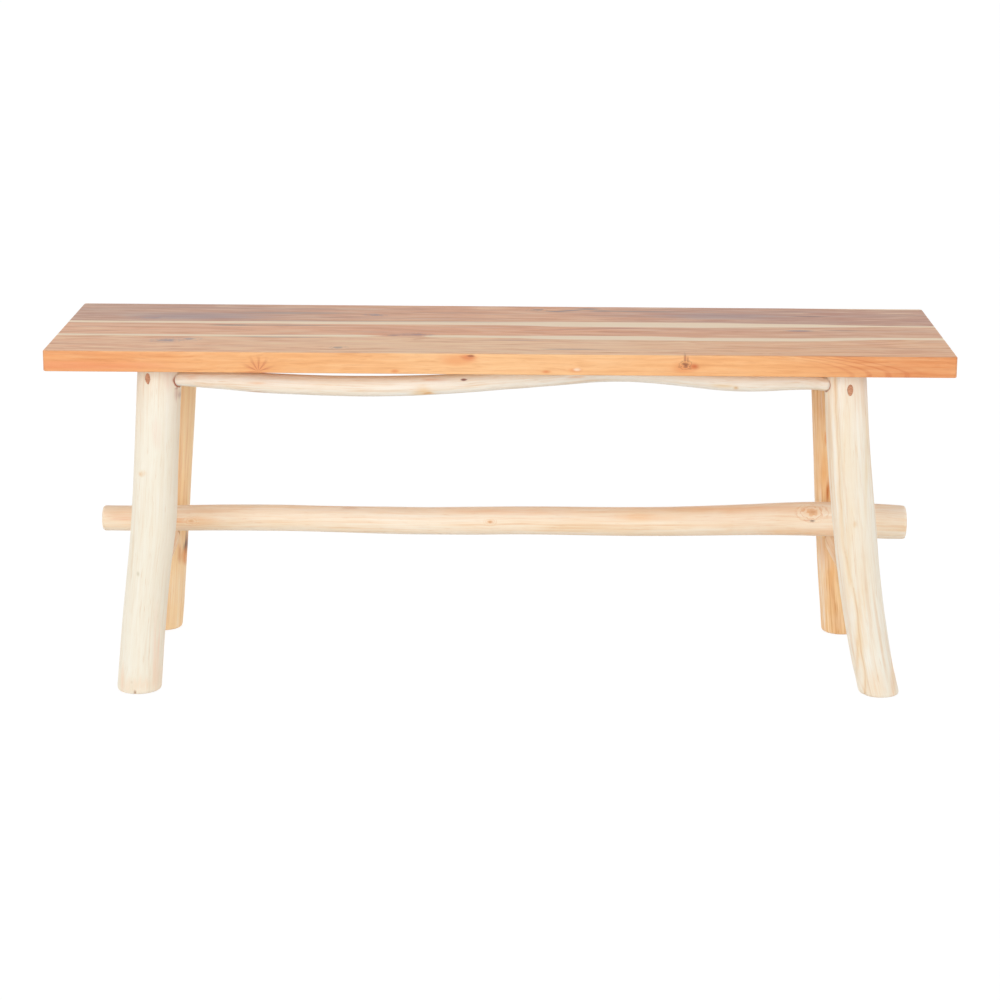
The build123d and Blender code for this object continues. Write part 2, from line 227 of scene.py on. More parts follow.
SOFTBOX_PLACE, SOFTBOX_AIM = Vector((-1.2, -4.3, 1.5)), Vector((0, 0, 0.3))
SOFTBOX_SIZE, SOFTBOX_POWER = 3.0, 42
bpy.ops.object.light_add(type="AREA", location=SOFTBOX_PLACE)
softbox = bpy.context.object
softbox.name = "front_softbox"
softbox.data.size = SOFTBOX_SIZE
softbox.data.energy = SOFTBOX_POWER
softbox.rotation_euler = (SOFTBOX_AIM - SOFTBOX_PLACE).to_track_quat("-Z", "Y").to_euler()


# ---- Legs ----
# Four peeled poles of pale wood, drawknifed and sanded, with sawn and rounded feet. The
# right front one grew with a long groove down its front.
X, Y, Z = range(3)           # along the seat, across it to the back, and up


def corners_of(mesh):
    """All corners of a mesh, one row each."""
    spots = np.empty(len(mesh.vertices) * 3)
    mesh.vertices.foreach_get("co", spots)
    return spots.reshape(-1, 3)


def ring_at(node, along, place, rests=0):
    """Middle and radius of a round CAD pole, where a plane square to an axis cuts it.

    rests says which side is whole where the other is cut: -1 low, 1 high, 0 both.
    """
    mesh = NODES[node].data
    spots = corners_of(mesh)
    pairs = np.empty(len(mesh.edges) * 2, dtype=int)
    mesh.edges.foreach_get("vertices", pairs)
    a, b = spots[pairs[0::2]], spots[pairs[1::2]]
    crossing = (a[:, along] - place) * (b[:, along] - place) < 0
    a, b = a[crossing], b[crossing]
    share = (place - a[:, along]) / (b[:, along] - a[:, along])
    cut = a + (b - a) * share[:, None]
    low, high = cut.min(axis=0), cut.max(axis=0)
    middle = (low + high) / 2
    across = Y if along == X else X
    radius = (high[across] - low[across]) / 2
    if rests:
        middle[Z] = low[Z] + radius if rests < 0 else high[Z] - radius
    middle[along] = place
    return Vector(middle), float(radius)


def in_line(rings, along, place):
    """Where the line of the first two rings passes a place, and the radius there."""
    (here, size), (onward, next_size) = rings[:2]
    share = (place - here[along]) / (onward[along] - here[along])
    return here + (onward - here) * share, size + (next_size - size) * share


SAWN_PROFILE = ((0, 2.2), (0, 0.5), (0.5, 0), (2.2, 0))      # depth and inset, in rounds
CLEAR_OF_SAW = 3.2


def sawn_end(rings, along, place, rounded):
    """The rings again, led by a flat sawn end with a rounded edge."""
    inward = 1 if rings[1][0][along] > rings[0][0][along] else -1
    end = []
    for depth, inset in SAWN_PROFILE:
        middle, radius = in_line(rings, along, place + inward * depth * rounded)
        end.append((middle, radius - inset * rounded))
    return end + [ring for ring in rings
                  if (ring[0][along] - place) * inward > CLEAR_OF_SAW * rounded]


def choose(piece):
    """Makes a piece the only one selected."""
    bpy.ops.object.select_all(action="DESELECT")
    bpy.context.view_layer.objects.active = piece
    piece.select_set(True)


def settle(piece):
    """Puts a piece's place and turn into its mesh."""
    choose(piece)
    bpy.ops.object.transform_apply(location=True, rotation=True, scale=True)


def finish_with(piece, kind, **settings):
    """Adds a modifier and applies it."""
    choose(piece)
    modifier = piece.modifiers.new(kind.lower(), kind)
    for name, value in settings.items():
        setattr(modifier, name, value)
    bpy.ops.object.modifier_apply(modifier=modifier.name)


SIDES = 24
TURNS = {X: (0, pi / 2, 0), Y: (-pi / 2, 0, 0), Z: (0, 0, 0)}
# Subdivision draws a ring of SIDES corners in by this much.
DRAWN_IN = (4 + 2 * cos(2 * pi / SIDES)) / 6


def grow_pole(name, along, rings):
    """A pole grown ring by ring from one end to the other, then made smooth."""
    middle, radius = rings[0]
    bpy.ops.mesh.primitive_circle_add(vertices=SIDES, radius=radius / DRAWN_IN, fill_type="NGON",
                                      location=middle, rotation=TURNS[along])
    pole = bpy.context.object
    pole.name = name
    bpy.ops.object.mode_set(mode="EDIT")
    for (here, size), (there, next_size) in zip(rings, rings[1:]):
        bpy.ops.mesh.extrude_region_move(TRANSFORM_OT_translate={"value": there - here})
        grow = next_size / size
        bpy.ops.transform.resize(value=(grow, grow, grow), center_override=there)
    bpy.ops.mesh.select_all(action="SELECT")
    bpy.ops.mesh.normals_make_consistent(inside=False)
    bpy.ops.object.mode_set(mode="OBJECT")
    settle(pole)
    finish_with(pole, "SUBSURF", levels=2, render_levels=2)
    return pole


TRUE_TO, ROUGH_FROM = 0.004, 0.02        # how far from a sawn end


def roughen(piece, along, seed, lump, drawn_out, depth, sawn_at=()):
    """Soft hollows and ridges all over a pole, drawn out along it, but not at sawn ends."""
    lumps = bpy.data.textures.new("lumps", "CLOUDS")
    lumps.noise_scale = lump
    lumps.noise_depth = 1
    bpy.ops.object.empty_add(location=(seed, -2 * seed, 3 * seed))
    guide = bpy.context.object
    guide.scale = [drawn_out if axis == along else 1 for axis in (X, Y, Z)]
    away = np.ones(len(piece.data.vertices))
    for place in sawn_at:
        away = np.minimum(away, np.abs(corners_of(piece.data)[:, along] - place))
    tenths = np.rint(np.clip((away - TRUE_TO) / (ROUGH_FROM - TRUE_TO), 0, 1) * 10)
    rough = piece.vertex_groups.new(name="rough")
    for tenth in range(11):
        rough.add(np.flatnonzero(tenths == tenth).tolist(), tenth / 10, "REPLACE")
    finish_with(piece, "DISPLACE", texture=lumps, texture_coords="OBJECT",
                texture_coords_object=guide, strength=depth, mid_level=0.5,
                vertex_group="rough")
    piece.vertex_groups.clear()
    bpy.data.objects.remove(guide)
    bpy.data.textures.remove(lumps)


def saw_level(piece, height):
    """Saws off what stands above a height."""
    choose(piece)
    bpy.ops.object.mode_set(mode="EDIT")
    bpy.ops.mesh.select_all(action="SELECT")
    bpy.ops.mesh.bisect(plane_co=(0, 0, height), plane_no=(0, 0, 1), use_fill=True,
                        clear_inner=False, clear_outer=True)
    bpy.ops.object.mode_set(mode="OBJECT")


def note(mesh, name, kind, field, values):
    """Notes a value at every corner of a mesh. A cut may have left an empty one behind."""
    if name in mesh.attributes:
        mesh.attributes.remove(mesh.attributes[name])
    mesh.attributes.new(name, kind, "POINT").data.foreach_set(field, values.ravel())


# The groove's height and place along the seat, and how it sways to either side: how far,
# how many radians to a metre, and where it starts.
GROOVE_ROUTE = ((0.0248, 0.4966), (0.1363, 0.4794), (0.2167, 0.4602), (0.3258, 0.4515),
                (0.433, 0.4438))
GROOVE_SWAYS = ((0.0006, 60, 0), (0.0004, 170, 1))
GROOVE_WIDTH, GROOVE_DEPTH = 0.0028, 0.0016
LOBE_WIDTH, LOBE_FULLNESS = 0.0075, 0.3
FRONT_FULL = 3               # the groove is whole where the wood faces a third forwards


def press_groove(piece):
    """Presses a groove into the front of an upright pole, with a fuller lobe beside it,
    and notes at every corner how near to the groove it is."""
    mesh = piece.data
    spots = corners_of(mesh)
    heights, places = zip(*GROOVE_ROUTE)
    aside = spots[:, X] - np.interp(spots[:, Z], heights, places)
    for reach, turns, start in GROOVE_SWAYS:
        aside -= reach * np.sin(spots[:, Z] * turns + start)
    normals = np.empty(len(mesh.vertices) * 3)
    mesh.vertex_normals.foreach_get("vector", normals)
    normals = normals.reshape(-1, 3)
    in_front = np.clip(-normals[:, Y] * FRONT_FULL, 0, 1)
    near = np.exp(-(aside / GROOVE_WIDTH) ** 2) * in_front
    beside = np.exp(-((aside + LOBE_WIDTH) / LOBE_WIDTH) ** 2) * in_front
    spots -= normals * ((near - LOBE_FULLNESS * beside) * GROOVE_DEPTH)[:, None]
    mesh.vertices.foreach_set("co", spots.ravel())
    note(mesh, "groove", "FLOAT", "value", near)


NEXT_SEED = 4


def grow_rough(node, along, rings, seed, rough, sawn_at=()):
    """A pole for a node, with hollows and ridges in several sizes. Each is given as its
    size, how many times longer it is along the pole, and its depth."""
    pole = grow_pole(node + "_wood", along, rings)
    for number, (lump, drawn_out, depth) in enumerate(rough):
        roughen(pole, along, seed + NEXT_SEED * number, lump, drawn_out, depth, sawn_at)
    return pole


LEG_RINGS = (0.007, 0.03, 0.055, 0.08, 0.105, 0.128, 0.174, 0.2, 0.225, 0.25, 0.275, 0.3,
             0.325, 0.35, 0.375, 0.404, 0.441)
LEG_ROUGH = ((0.05, 3, 0.0016), (0.011, 9, 0.0007))
FOOT_ROUND = 0.004
SPARE = 0.012                # grown past the seat's underside, and sawn off there
SEAT_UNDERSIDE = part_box("seat_board_front")[0][2]

legs = {}
for number, name in enumerate(("leg_front_left", "leg_front_right", "leg_rear_left",
                               "leg_rear_right")):
    rings = [ring_at(name, Z, height) for height in LEG_RINGS]
    rings.append(in_line(rings[:-3:-1], Z, SEAT_UNDERSIDE + SPARE))
    rings = sawn_end(rings, Z, 0.0, FOOT_ROUND)
    leg = grow_rough(name, Z, rings, number + 1, LEG_ROUGH, sawn_at=(0,))
    saw_level(leg, SEAT_UNDERSIDE)
    legs[name] = leg, rings
press_groove(legs["leg_front_right"][0])


# ---- Plugs ----
# A round brown plug over the slanting screw near the top of each leg, cut flush with it.
# The left front one sits in a hole that is torn to a point at its lower edge.
BAR_SIDES = 48
TEAR_NARROWS = 0.8


def round_bar(start, direction, radius, length, torn=0.0):
    """A plain round bar, to bore with or to cut a plug from."""
    direction = Vector(direction).normalized()
    bpy.ops.mesh.primitive_cylinder_add(
        vertices=BAR_SIDES, radius=radius, depth=length,
        location=Vector(start) + direction * (length / 2),
        rotation=direction.to_track_quat("Z", "Y").to_euler())
    bar = bpy.context.object
    settle(bar)
    if torn:
        below = (direction * direction.z - Vector((0, 0, 1))).normalized()
        aside = direction.cross(below)
        for corner in bar.data.vertices:
            off = corner.co - Vector(start)
            down = max(off.dot(below) / radius, 0) ** 2
            corner.co -= aside * (off.dot(aside) * TEAR_NARROWS + torn * radius) * down
    return bar


def cut(piece, tool, how="DIFFERENCE", keep_tool=False):
    """Cuts a piece with another one."""
    finish_with(piece, "BOOLEAN", object=tool, operation=how, solver="EXACT")
    if not keep_tool:
        bpy.data.objects.remove(tool)


PLUG_GRAIN, PLUG_SPOTS = (300.0, 300.0, 1300.0), (1500.0, 1500.0, 2200.0)
PLUG_BROWN, PLUG_STREAK, PLUG_SPOT = paint(216, 162, 126), paint(170, 110, 78), paint(132, 84, 58)


def plug_wood():
    """Brown hardwood with fine grain, a little darker in streaks."""
    made, wire, shader = blank("plug_wood")
    spot = wire.where("Object")
    grain = spot.noise(PLUG_GRAIN, detail=3.0, roughness=0.6)
    spots = spot.noise(PLUG_SPOTS, seed=2.0)
    colour = grain.rise(0.35, 0.7).to(PLUG_BROWN, PLUG_STREAK)
    colour = spots.rise(0.6, 0.75, 0, 0.6).to(colour, PLUG_SPOT)
    colour.feeds(shader, "Base Color")
    grain.rise(0.3, 0.7, 0.5, 0.65).feeds(shader, "Roughness")
    grain.bumps(shader, 0.3, 0.0004)
    return made


PLUG_RISE = radians(55)
PLUG_TURNS = {"leg_front_left": 24.5, "leg_front_right": 7, "leg_rear_left": 12,
              "leg_rear_right": 16}
PLUG_TORN = {"leg_front_left": 0.45}
PLUG_RADIUS, PLUG_ROOM, PLUG_LENGTH, PLUG_SPARE = 0.0038, 0.0003, 0.007, 0.012

plug_corners = corners_of(NODES["leg_plugs"].data)
plugs = []
for name, turn in PLUG_TURNS.items():
    leg = legs[name][0]
    right, rear = name.endswith("right"), "rear" in name
    own = plug_corners[((plug_corners[:, X] > 0) == right) & ((plug_corners[:, Y] > 0) == rear)]
    middle = Vector((own.min(axis=0) + own.max(axis=0)) / 2)
    outward = Vector((sin(radians(turn)) * (1 if right else -1),
                      cos(radians(turn)) * (1 if rear else -1), 0))
    inward = Vector((0, 0, sin(PLUG_RISE))) - outward * cos(PLUG_RISE)
    outer, reach = middle - inward * PLUG_SPARE, PLUG_SPARE + PLUG_LENGTH / 2
    torn = PLUG_TORN.get(name, 0.0)
    plug = round_bar(outer, inward, PLUG_RADIUS, reach, torn)
    cut(plug, leg, "INTERSECT", keep_tool=True)
    cut(leg, round_bar(outer, inward, PLUG_RADIUS + PLUG_ROOM, reach, torn))
    plugs.append(plug)
choose(plugs[0])
for plug in plugs:
    plug.select_set(True)
bpy.ops.object.join()
plugs = bpy.context.object
plugs.name = "leg_plugs_wood"


# ---- Legs: mortises and wood ----
# Blind round holes for the rails' tenons, with painted shade on their walls inside and a
# painted shadow and glue line round each mouth. The wood is pale on the front legs and warmer
# on the rear ones, with small bruises and stains, one dark knot, and a painted patch of light
# high on the rear left leg.
MORTISE_DEPTH = 0.0295       # from the rail's neck, just outside the leg
MORTISE_ROOM = 0.0009
SEAT_RAIL_NECK, END_RAIL_NECK = 0.009, 0.0125
RUN_IN = 0.01                # a bore starts this far outside the wood


def bore_mortise(leg, rail, along, at_low_end, neck):
    """Bores the hole for a rail's tenon, from the rail's neck into the leg, and says where."""
    low, high = (corner[along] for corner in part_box(rail))
    place = low + MORTISE_DEPTH if at_low_end else high - MORTISE_DEPTH
    middle = ring_at(rail, along, place, rests=1 if along == Y else -1)[0]
    inward = Vector([(-1 if at_low_end else 1) if axis == along else 0 for axis in (X, Y, Z)])
    cut(leg, round_bar(middle - inward * RUN_IN, inward, neck + MORTISE_ROOM,
                       MORTISE_DEPTH + RUN_IN))
    return along, tuple(middle), neck + MORTISE_ROOM


def draw_grain(piece, along, rings):
    """Notes at every corner where it lies in the wood, with the pole's bends taken out, and
    how thick the pole is there."""
    mesh = piece.data
    spots = corners_of(mesh)
    middles = np.array([ring[0] for ring in rings])
    order = np.argsort(middles[:, along], kind="stable")
    middles, radii = middles[order], np.array([ring[1] for ring in rings])[order]
    grain = np.empty_like(spots)
    for column, axis in enumerate(axis for axis in (X, Y, Z) if axis != along):
        grain[:, column] = spots[:, axis] - np.interp(spots[:, along], middles[:, along],
                                                      middles[:, axis])
    grain[:, 2] = spots[:, along]
    note(mesh, "grain", "FLOAT_VECTOR", "vector", grain)
    girth = np.interp(spots[:, along], middles[:, along], radii)
    note(mesh, "girth", "FLOAT", "value", girth)


KNOT_FLAT = 0.62             # knots are longer along the pole
KNOT_PUSH, KNOT_FIRM = 0.8, 0.35
NO_KNOT = 9.0


def round_knots(wire, spot, grain, knots, along):
    """Bends the wood's lines round its knots. Gives the bent lines, how far the nearest
    knot's middle is in its own radii, and how strongly it is ringed."""
    flat = tuple(KNOT_FLAT if axis == along else 1.0 for axis in (X, Y, Z))
    bent, far, ringed = grain, NO_KNOT, 0.0
    for middle, radius, strength in knots:
        away = (spot - middle) * flat
        distance = away.length() / radius
        across = away * (KNOT_PUSH / (distance * distance + KNOT_FIRM))
        if along == Z:
            bent = bent - across
        else:
            bent = bent - wire.node("ShaderNodeCombineXYZ", {
                0: across.part("YXX"[along]), 1: across.part("ZZY"[along]), 2: 0.0})
        ringed = distance.rise(1.3, 2.1, strength, 0).over(ringed)
        far = distance.under(far)
    return bent, far, ringed


def shaded(colour, *factors):
    """A painted colour with its red, green and blue scaled."""
    return paint(*(value * factor for value, factor in zip(colour, factors)))


# Bands per metre, across the pole both ways and along it.
WANDERS, BROAD_BANDS, STREAKS = (14.0, 14.0, 5.0), (38.0, 38.0, 3.5), (210.0, 210.0, 6.0)
FIBRES, FLECKS = (620.0, 620.0, 18.0), (520.0, 520.0, 45.0)
# Cells per metre, the same all ways.
BLOTCHES, GRIT = 24.0, 170.0
POLE_YEARS, POLE_RAYS = 1900.0, 24.0
# How the warm tone is shaded for streaks, round a knot, in its middle, and at a sawn end.
DEEP_STREAK, KNOT_RING, KNOT_GLOW = (0.92, 0.81, 0.68), (0.93, 0.8, 0.62), (0.97, 0.86, 0.7)
KNOT_HEART = (0.86, 0.66, 0.48)
SAWN_LIGHT, SAWN_DARK = (0.99, 0.93, 0.84), (0.8, 0.66, 0.52)
CHALK = (0.98, 0.96, 0.9, 1)
# A painted shadow and glue line round each bore's mouth, and painted shade on the walls inside.
SHADOW_AND_GLUE_RIM, BORE_SHADE = paint(168, 82, 38), paint(150, 92, 56)
GROOVE_GOLD, GROOVE_BROWN = paint(242, 214, 172), paint(220, 176, 128)
SANDED_IOR = 1.45


def sawn_wood(wire, grain, blotch, warm):
    """The colour of a sawn end: year rings round the heart, and rays out from it. Also gives
    the rings, and how far the heart is."""
    across, along_it = grain.part("X"), grain.part("Y")
    from_heart = wire.math("SQRT", across * across + along_it * along_it)
    year = ((from_heart + blotch.sway(0.003)) * POLE_YEARS).sin()
    ray = (wire.math("ARCTAN2", across, along_it) * POLE_RAYS + blotch * 9.0).sin()
    tone = year.rise(-0.4, 1.0, 0.1, 0.5) + ray.rise(0.75, 1.0, 0, 0.2)
    return tone.to(shaded(warm, *SAWN_LIGHT), shaded(warm, *SAWN_DARK)), year, from_heart


def knotted(colour, height, spot, far, ringed, warm, seed):
    """The wood's colour and height with the knots drawn: a dark middle and rings round it."""
    grit = spot.noise(GRIT, detail=3.0, seed=seed)
    far = far + grit.sway(0.9)
    ring = (far * 10.5 + grit * 5.0).sin().rise(-0.1, 1.0) * grit.rise(0.35, 0.6, 0.4, 1.0)
    core = far.rise(0.1, 0.6, 0.6, 0)
    colour = (ringed * ring * 0.6).to(colour, shaded(warm, *KNOT_RING))
    colour = (ringed * far.rise(0.25, 1.2, 0.5, 0)).to(colour, shaded(warm, *KNOT_GLOW))
    return core.to(colour, shaded(warm, *KNOT_HEART)), height + ringed * ring * 0.2 - core


def shadow_and_glue_rim(spot, ragged, axis, middle, radius):
    """How strongly the painted shadow and glue line round a bored hole's edge is drawn, less so
    in its upper half.
    """
    off = spot - middle
    here = off.part("XYZ"[axis]).abs().rise(0.025, 0.03, 0.95, 0)
    here = here * off.part("Z").rise(0.0, 0.008, 1.0, 0.3)
    off = off * tuple(0.0 if other == axis else 1.0 for other in (X, Y, Z))
    return here * (off.length() - radius + ragged).rise(0.0005, 0.003, 1, 0)


def peeled_wood(node, along, seed, pale, warm, warmth, streaky=1.0, knots=(), marks=(),
                mouths=(), grooved=False):
    """Peeled and sanded round wood: long soft streaks, fine fibres, knots, sawn ends.

    marks are stains frayed along the fibres, and on the rear left leg one painted patch of light:
    middle, size, colour and strength. mouths are bored holes, with a painted shadow and glue line
    round the edge: the axis and middle of the bore, and its radius.
    """
    made, wire, shader = blank(node + "_wood")
    spot = wire.where("Object")
    grain = wire.noted("grain", out="Vector")
    bent, far, ringed = round_knots(wire, spot, grain, knots, along)
    line = bent + bent.noise(WANDERS, seed=seed).sway(0.006)
    broad = line.noise(BROAD_BANDS, detail=3.0, seed=seed + 1)
    streak = line.noise(STREAKS, detail=3.0, roughness=0.6, seed=seed + 2)
    fibre = line.noise(FIBRES, detail=3.0, roughness=0.65, seed=seed + 3)
    fleck = line.noise(FLECKS, seed=seed + 4)
    blotch = spot.noise(BLOTCHES, seed=seed + 5)

    colour = (broad.rise(0.38, 0.68, 0, warmth) + streak.rise(0.42, 0.66, 0, warmth * 0.7)).to(
        paint(*pale), paint(*warm))
    colour = (streak.rise(0.52, 0.7, 0, 0.4 * streaky) + fleck.rise(0.58, 0.74, 0, 0.3)
              + fibre.rise(0.46, 0.7, 0, 0.3 * streaky)).to(colour, shaded(warm, *DEEP_STREAK))
    colour = (streak.rise(0.32, 0.46, 0.35 * streaky, 0)
              + blotch.rise(0.3, 0.7, 0, 0.1)).to(colour, CHALK)
    height = streak * 0.35 + fibre * 0.3 + fleck.rise(0.6, 0.8, 0, -0.3)
    if knots:
        colour, height = knotted(colour, height, spot, far, ringed, warm, seed + 6)
    for middle, size, tint, strength in marks:
        frayed = ((spot - middle) / size).length() + streak.sway(2.4) + fibre.sway(1.6)
        mask = (frayed + blotch.sway(0.8)).rise(0.15, 1.1, strength, 0)
        colour = (mask * fibre.rise(0.35, 0.6, 0.35, 1.0)).to(colour, paint(*tint))
    # A painted shadow and glue line round the mouth of each bore, strongest below.
    for mouth in mouths:
        ragged = streak.sway(0.005) + blotch.sway(0.008)
        colour = shadow_and_glue_rim(spot, ragged, *mouth).to(colour, SHADOW_AND_GLUE_RIM)
    if grooved:
        near = wire.noted("groove")
        golden = near.rise(0.05, 0.9, 0, 0.6) * broad.rise(0.3, 0.6, 0.4, 1.0)
        colour = golden.to(colour, GROOVE_GOLD)
        colour = (near.rise(0.75, 1.0, 0, 0.5) * streak.rise(0.35, 0.6)).to(colour, GROOVE_BROWN)

    sawn = wire.where("Normal").part("XYZ"[along]).abs().rise(0.75, 0.93)
    end_colour, year, from_heart = sawn_wood(wire, grain, blotch, warm)
    colour = sawn.to(colour, end_colour)
    # Painted shade: the walls inside the bores are painted dark brown.
    if along == Z:
        girth = wire.noted("girth")
        bore_shade = (girth - from_heart).rise(0.0028, 0.004) * grain.part("Z").rise(0.012, 0.016)
        colour = bore_shade.to(colour, BORE_SHADE)
    colour.feeds(shader, "Base Color")
    (streak.rise(0.2, 0.8, 0.5, 0.62) + sawn * 0.2).feeds(shader, "Roughness")
    height = height + sawn * year * 0.15
    height.bumps(shader, 0.35, 0.0012)
    shader.inputs["IOR"].default_value = SANDED_IOR
    return made


SHARP_EDGE = radians(38)


def coat(piece, material):
    """Gives a piece one material all over."""
    piece.data.materials.clear()
    piece.data.materials.append(material)


def dress(piece, material, slot, *nodes):
    """Gives a piece its material and smooth shading, hangs it on the root body, and hides the CAD
    nodes it stands for.
    """
    coat(piece, material)
    choose(piece)
    bpy.ops.object.shade_smooth_by_angle(angle=SHARP_EDGE)
    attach(piece, "root")
    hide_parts(*nodes)


FRONT_LEFT_MARKS = (
    ((-0.4784, -0.149, 0.2997), (0.005, 0.02, 0.0045), (228, 190, 140), 0.8),
    ((-0.474, -0.149, 0.302), (0.01, 0.02, 0.005), (238, 214, 178), 0.6),
    ((-0.4844, -0.1608, 0.1655), (0.0025, 0.02, 0.004), (212, 200, 172), 0.9),
    ((-0.4285, -0.1364, 0.4055), (0.006, 0.03, 0.013), (210, 174, 156), 0.9),
    ((-0.4275, -0.1364, 0.403), (0.0025, 0.03, 0.006), (170, 132, 122), 0.8),
    ((-0.4295, -0.1364, 0.4135), (0.0035, 0.03, 0.002), (176, 130, 114), 0.8),
    ((-0.438, -0.14, 0.43), (0.012, 0.03, 0.02), (232, 204, 186), 0.5),
    ((-0.456, -0.15, 0.355), (0.008, 0.02, 0.025), (240, 216, 196), 0.6),
    ((-0.508, -0.165, 0.016), (0.007, 0.02, 0.025), (240, 202, 168), 0.8),
    ((-0.462, -0.16, 0.03), (0.007, 0.03, 0.09), (242, 210, 180), 0.7),
    ((-0.478, -0.175, 0.012), (0.03, 0.03, 0.016), (242, 208, 172), 0.5),
    ((-0.49, -0.181, 0.003), (0.0025, 0.02, 0.005), (176, 138, 106), 0.9),
    ((-0.4945, -0.181, 0.017), (0.002, 0.02, 0.003), (212, 182, 150), 0.6),
)
FRONT_RIGHT_MARKS = (
    ((0.46, -0.1459, 0.36), (0.01, 0.02, 0.09), (242, 220, 184), 0.5),
    ((0.459, -0.1459, 0.28), (0.004, 0.02, 0.07), (234, 204, 160), 0.35),
    ((0.4695, -0.1504, 0.19), (0.009, 0.02, 0.13), (242, 218, 180), 0.6),
    ((0.476, -0.15, 0.24), (0.003, 0.02, 0.006), (232, 198, 150), 0.7),
    ((0.488, -0.1609, 0.1), (0.011, 0.02, 0.12), (241, 214, 174), 0.7),
    ((0.486, -0.1609, 0.06), (0.004, 0.02, 0.08), (232, 192, 140), 0.6),
    ((0.477, -0.15, 0.38), (0.006, 0.03, 0.05), (252, 247, 234), 0.6),
    ((0.49, -0.14, 0.33), (0.004, 0.04, 0.1), (238, 214, 170), 0.6),
    ((0.509, -0.168, 0.015), (0.02, 0.03, 0.03), (242, 210, 170), 0.6),
    ((0.536, -0.155, 0.02), (0.008, 0.04, 0.06), (238, 194, 146), 0.7),
)
REAR_LEFT_MARKS = (
    # A painted patch of light: the upper leg, shaded by the seat, is painted lighter here.
    ((-0.45, 0.12, 0.33), (0.05, 0.05, 0.16), (255, 229, 184), 0.75),
    ((-0.4536, 0.1233, 0.131), (0.0045, 0.03, 0.018), (150, 84, 52), 0.95),
    ((-0.4548, 0.12, 0.1245), (0.0055, 0.05, 0.0105), (60, 30, 36), 1.0),
    ((-0.4575, 0.1233, 0.112), (0.005, 0.02, 0.016), (224, 146, 84), 0.9),
    ((-0.464, 0.12, 0.118), (0.004, 0.02, 0.018), (222, 156, 100), 0.7),
)
REAR_RIGHT_MARKS = (
    ((0.4612, 0.1, 0.2992), (0.002, 0.02, 0.012), (222, 130, 58), 1.0),
    ((0.4671, 0.1052, 0.2188), (0.0028, 0.02, 0.022), (200, 118, 58), 1.0),
    ((0.46, 0.1, 0.245), (0.006, 0.02, 0.03), (236, 172, 96), 0.9),
    ((0.452, 0.1, 0.4), (0.002, 0.02, 0.02), (170, 116, 76), 0.9),
    ((0.456, 0.1, 0.36), (0.008, 0.02, 0.06), (216, 154, 92), 0.7),
    ((0.452, 0.1, 0.23), (0.006, 0.02, 0.05), (218, 154, 92), 0.8),
    ((0.444, 0.1, 0.24), (0.003, 0.02, 0.03), (196, 142, 96), 0.8),
    ((0.478, 0.11, 0.09), (0.008, 0.02, 0.08), (236, 172, 96), 0.8),
    ((0.458, 0.11, 0.06), (0.007, 0.02, 0.06), (212, 160, 116), 0.7),
    ((0.468, 0.12, 0.13), (0.01, 0.02, 0.03), (226, 178, 138), 0.7),
)
LEG_LOOKS = {
    "leg_front_left": {
        "pale": (243, 237, 220), "warm": (237, 222, 196), "warmth": 0.32, "streaky": 0.5,
        "marks": FRONT_LEFT_MARKS,
    },
    "leg_front_right": {
        "pale": (246, 241, 227), "warm": (241, 220, 188), "warmth": 0.45, "streaky": 0.75,
        "grooved": True, "marks": FRONT_RIGHT_MARKS,
    },
    "leg_rear_left": {
        "pale": (250, 218, 169), "warm": (240, 195, 141), "warmth": 0.5, "streaky": 0.7,
        "marks": REAR_LEFT_MARKS,
    },
    "leg_rear_right": {
        "pale": (248, 214, 165), "warm": (232, 181, 120), "warmth": 0.6, "streaky": 1.6,
        "marks": REAR_RIGHT_MARKS,
    },
}
for number, (name, look) in enumerate(LEG_LOOKS.items()):
    leg, rings = legs[name]
    side, end = name.split("_")[1:]
    mouths = (bore_mortise(leg, f"seat_rail_{side}", X, end == "left", SEAT_RAIL_NECK),
              bore_mortise(leg, f"end_rail_{end}", Y, side == "front", END_RAIL_NECK))
    draw_grain(leg, Z, rings)
    dress(leg, peeled_wood(name, Z, seed=3.7 * number, mouths=mouths, **look), "peeled_leg", name)
dress(plugs, plug_wood(), "wood_plug", "leg_plugs")


# ---- End rails ----
# One short round branch between each front leg and the rear leg behind it, with a recess
# bored up into it for the screw that holds the stretcher.
RING_STEP, RING_CLEAR = 0.025, 0.01
TENON_GAPS = (0.002, 0.014, 0.0275, 0.031, 0.037, 0.047, 0.06, 0.08)
RECESS_RADIUS, RECESS_DEPTH, RECESS_AT = 0.0045, 0.008, 0.045
NEAR_RECESS = (0.038, 0.052)
END_RAIL_ROUGH = ((0.04, 3, 0.0012), (0.009, 8, 0.0006))
BRANCH_LOOK = {"pale": (246, 214, 170), "warm": (234, 186, 132), "warmth": 0.5}


def rail_rings(node, along, gaps, rests, missing=()):
    """Rings along a rail, close together at its ends and leaving out its cut places."""
    low, high = (corner[along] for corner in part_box(node))
    places = [low + gap for gap in gaps]
    places += list(np.arange(low + gaps[-1] + RING_STEP, high - gaps[-1] - RING_CLEAR, RING_STEP))
    places += [high - gap for gap in reversed(gaps)]
    places = [p for p in places if not any(a < p < b for a, b in missing)]
    return [ring_at(node, along, float(p), rests) for p in places]


end_rails = []
for number, end in enumerate(("left", "right")):
    node = f"end_rail_{end}"
    rings = rail_rings(node, Y, TENON_GAPS, rests=1, missing=(NEAR_RECESS,))
    rail = grow_rough(node, Y, rings, number + 11, END_RAIL_ROUGH)
    middle, radius = ring_at(node, Y, NEAR_RECESS[0], rests=1)
    middle[Y] = RECESS_AT
    below = middle - Vector((0, 0, radius + RUN_IN))
    cut(rail, round_bar(below, (0, 0, 1), RECESS_RADIUS, RUN_IN + RECESS_DEPTH))
    draw_grain(rail, Y, rings)
    end_rails.append(rail)
    dress(rail, peeled_wood(node, Y, seed=20.0 + number, **BRANCH_LOOK), "peeled_branch", node)


